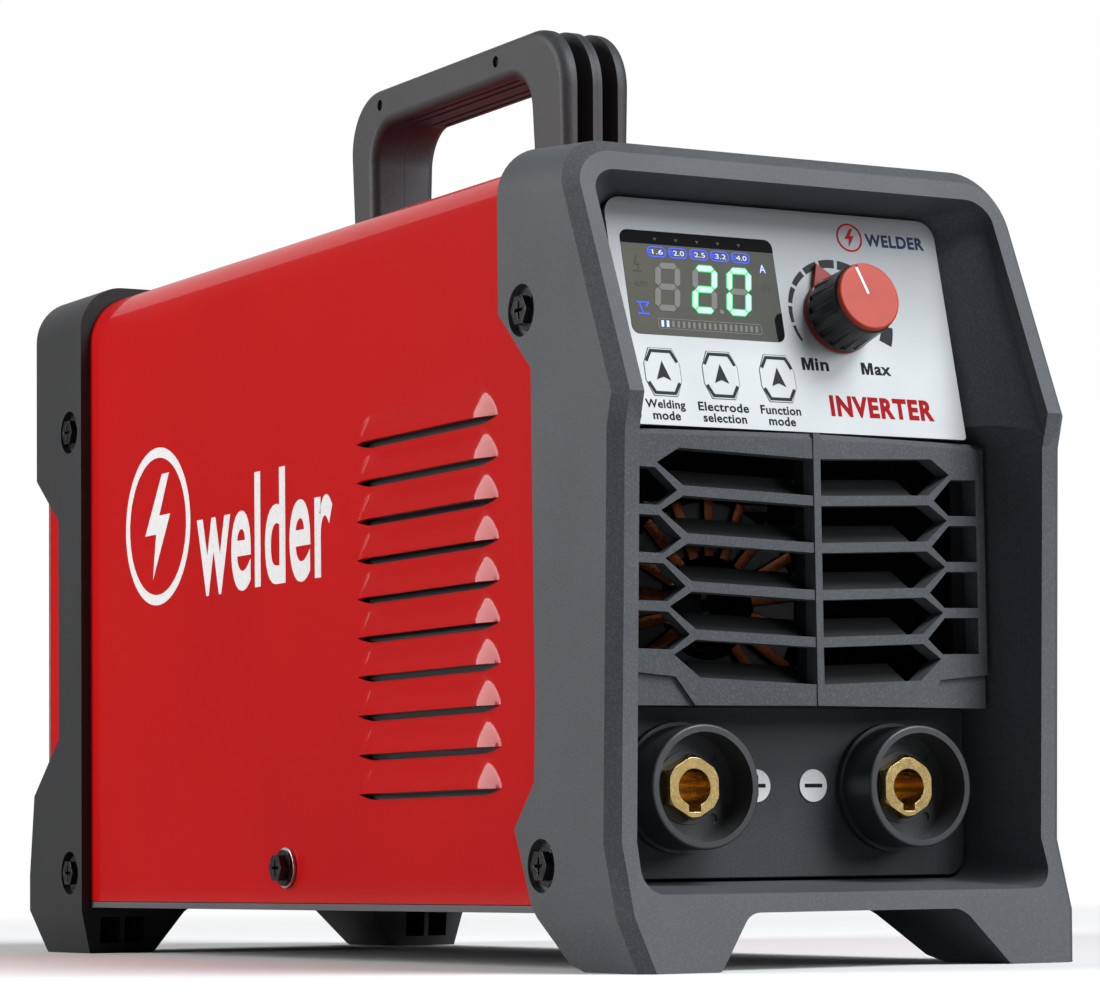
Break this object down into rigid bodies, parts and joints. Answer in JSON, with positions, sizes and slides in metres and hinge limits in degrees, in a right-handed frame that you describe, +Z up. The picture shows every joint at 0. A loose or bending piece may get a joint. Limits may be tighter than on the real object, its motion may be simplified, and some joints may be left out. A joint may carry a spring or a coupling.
{
  "type": "stick welding inverter",
  "caption": "Portable stick welding inverter: red sheet cover between a deep plastic front frame and a rear frame, carry handle, display, knob, grille and output sockets.",
  "frame": {"origin": "under the middle of the whole inverter, at the height of the feet's undersides", "axes": "+Z up, -Y towards the front with the sockets, +Y to the rear, +X to the right as seen from the front"},
  "size_m": [0.1348, 0.371, 0.2557],
  "materials": {
    "frame_plastic": "fine spark-eroded texture",
    "rear_plastic": "fine spark-eroded texture",
    "cover_paint": "gloss powder coat",
    "tray_paint": "semi-gloss powder coat",
    "panel_plate": "satin",
    "panel_foil": "fine satin print",
    "window_black": "clear dark acrylic",
    "display_case": "satin",
    "circuit_board": "solder mask",
    "switch_black": "satin",
    "zinc_steel": "zinc plated",
    "knob_black": "satin moulded",
    "knob_red": "satin moulded",
    "mark_white": "satin",
    "socket_black": "satin moulded",
    "brass": "turned",
    "copper": "bare",
    "aluminium": "extruded",
    "ferrite": "sintered",
    "winding_tape": "polyester tape",
    "capacitor_sleeve": "shrink sleeve",
    "fan_black": "moulded",
    "guard_steel": "powder coat",
    "screw_black": "black oxide"
  },
  "bodies": {
    "root": {"front_frame": "frame_plastic", "rear_frame": "rear_plastic", "cover": "cover_paint", "base_tray": "tray_paint", "control_panel": "panel_plate", "panel_overlay": "panel_foil", "display_window": "window_black", "display_module": "display_case", "control_board": "circuit_board", "tact_switches": "switch_black", "potentiometer": "zinc_steel", "front_grille": "frame_plastic", "connector_panel": "frame_plastic", "polarity_labels": "mark_white", "handle_left": "frame_plastic", "handle_right": "frame_plastic", "handle_screws": "screw_black", "handle_bracket": "zinc_steel", "handle_bolts": "zinc_steel", "rear_panel": "tray_paint", "fan_frame": "fan_black", "fan_guard": "guard_steel", "fan_screws": "screw_black", "power_switch": "switch_black", "cable_gland": "rear_plastic", "gland_nut": "rear_plastic", "earth_stud": "brass", "earth_nut": "brass", "main_board": "circuit_board", "board_standoffs": "zinc_steel", "heatsink_left": "aluminium", "heatsink_right": "aluminium", "transformer_core": "ferrite", "transformer_winding": "winding_tape", "choke_core": "ferrite", "choke_winding": "copper", "choke_seat": "switch_black", "capacitors": "capacitor_sleeve", "power_modules": "switch_black", "socket_body_left": "socket_black", "socket_body_right": "socket_black", "socket_contact_left": "brass", "socket_contact_right": "brass", "busbar_left": "copper", "busbar_right": "copper", "socket_nuts": "zinc_steel", "front_frame_screws": "screw_black", "rear_frame_screws": "screw_black", "cover_screws": "screw_black", "cover_washers": "zinc_steel"},
    "knob": {"knob_shaft": "zinc_steel", "knob_body": "knob_black", "knob_cap": "knob_red", "knob_line": "mark_white", "knob_skirt": "knob_red"},
    "key_one": {"key_1": "panel_foil"},
    "key_two": {"key_2": "panel_foil"},
    "key_three": {"key_3": "panel_foil"},
    "fan": {"fan_rotor": "fan_black"},
    "rocker": {"power_rocker": "switch_black"}
  },
  "joints": [
    {"name": "knob_turn", "type": "hinge", "parent": "root", "child": "knob", "pos_m": [0.0152, -0.15384, 0.1632], "axis": [0, -0.9746, 0.2241], "range_deg": [-170, 130]},
    {"name": "key_1_press", "type": "slide", "parent": "root", "child": "key_one", "axis": [0, 0.9746, -0.2241], "range_m": [0, 0.0004], "stiffness_N_per_m": 1500, "springref_m": -0.0002},
    {"name": "key_2_press", "type": "slide", "parent": "root", "child": "key_two", "axis": [0, 0.9746, -0.2241], "range_m": [0, 0.0004], "stiffness_N_per_m": 1500, "springref_m": -0.0002},
    {"name": "key_3_press", "type": "slide", "parent": "root", "child": "key_three", "axis": [0, 0.9746, -0.2241], "range_m": [0, 0.0004], "stiffness_N_per_m": 1500, "springref_m": -0.0002},
    {"name": "fan_spin", "type": "hinge", "parent": "root", "child": "fan", "pos_m": [0, 0.1622, 0.126], "axis": [0, 1, 0], "continuous": true},
    {"name": "rocker_tilt", "type": "hinge", "parent": "root", "child": "rocker", "pos_m": [0.032, 0.1743, 0.046], "axis": [1, 0, 0], "range_deg": [0, 22]}
  ]
}
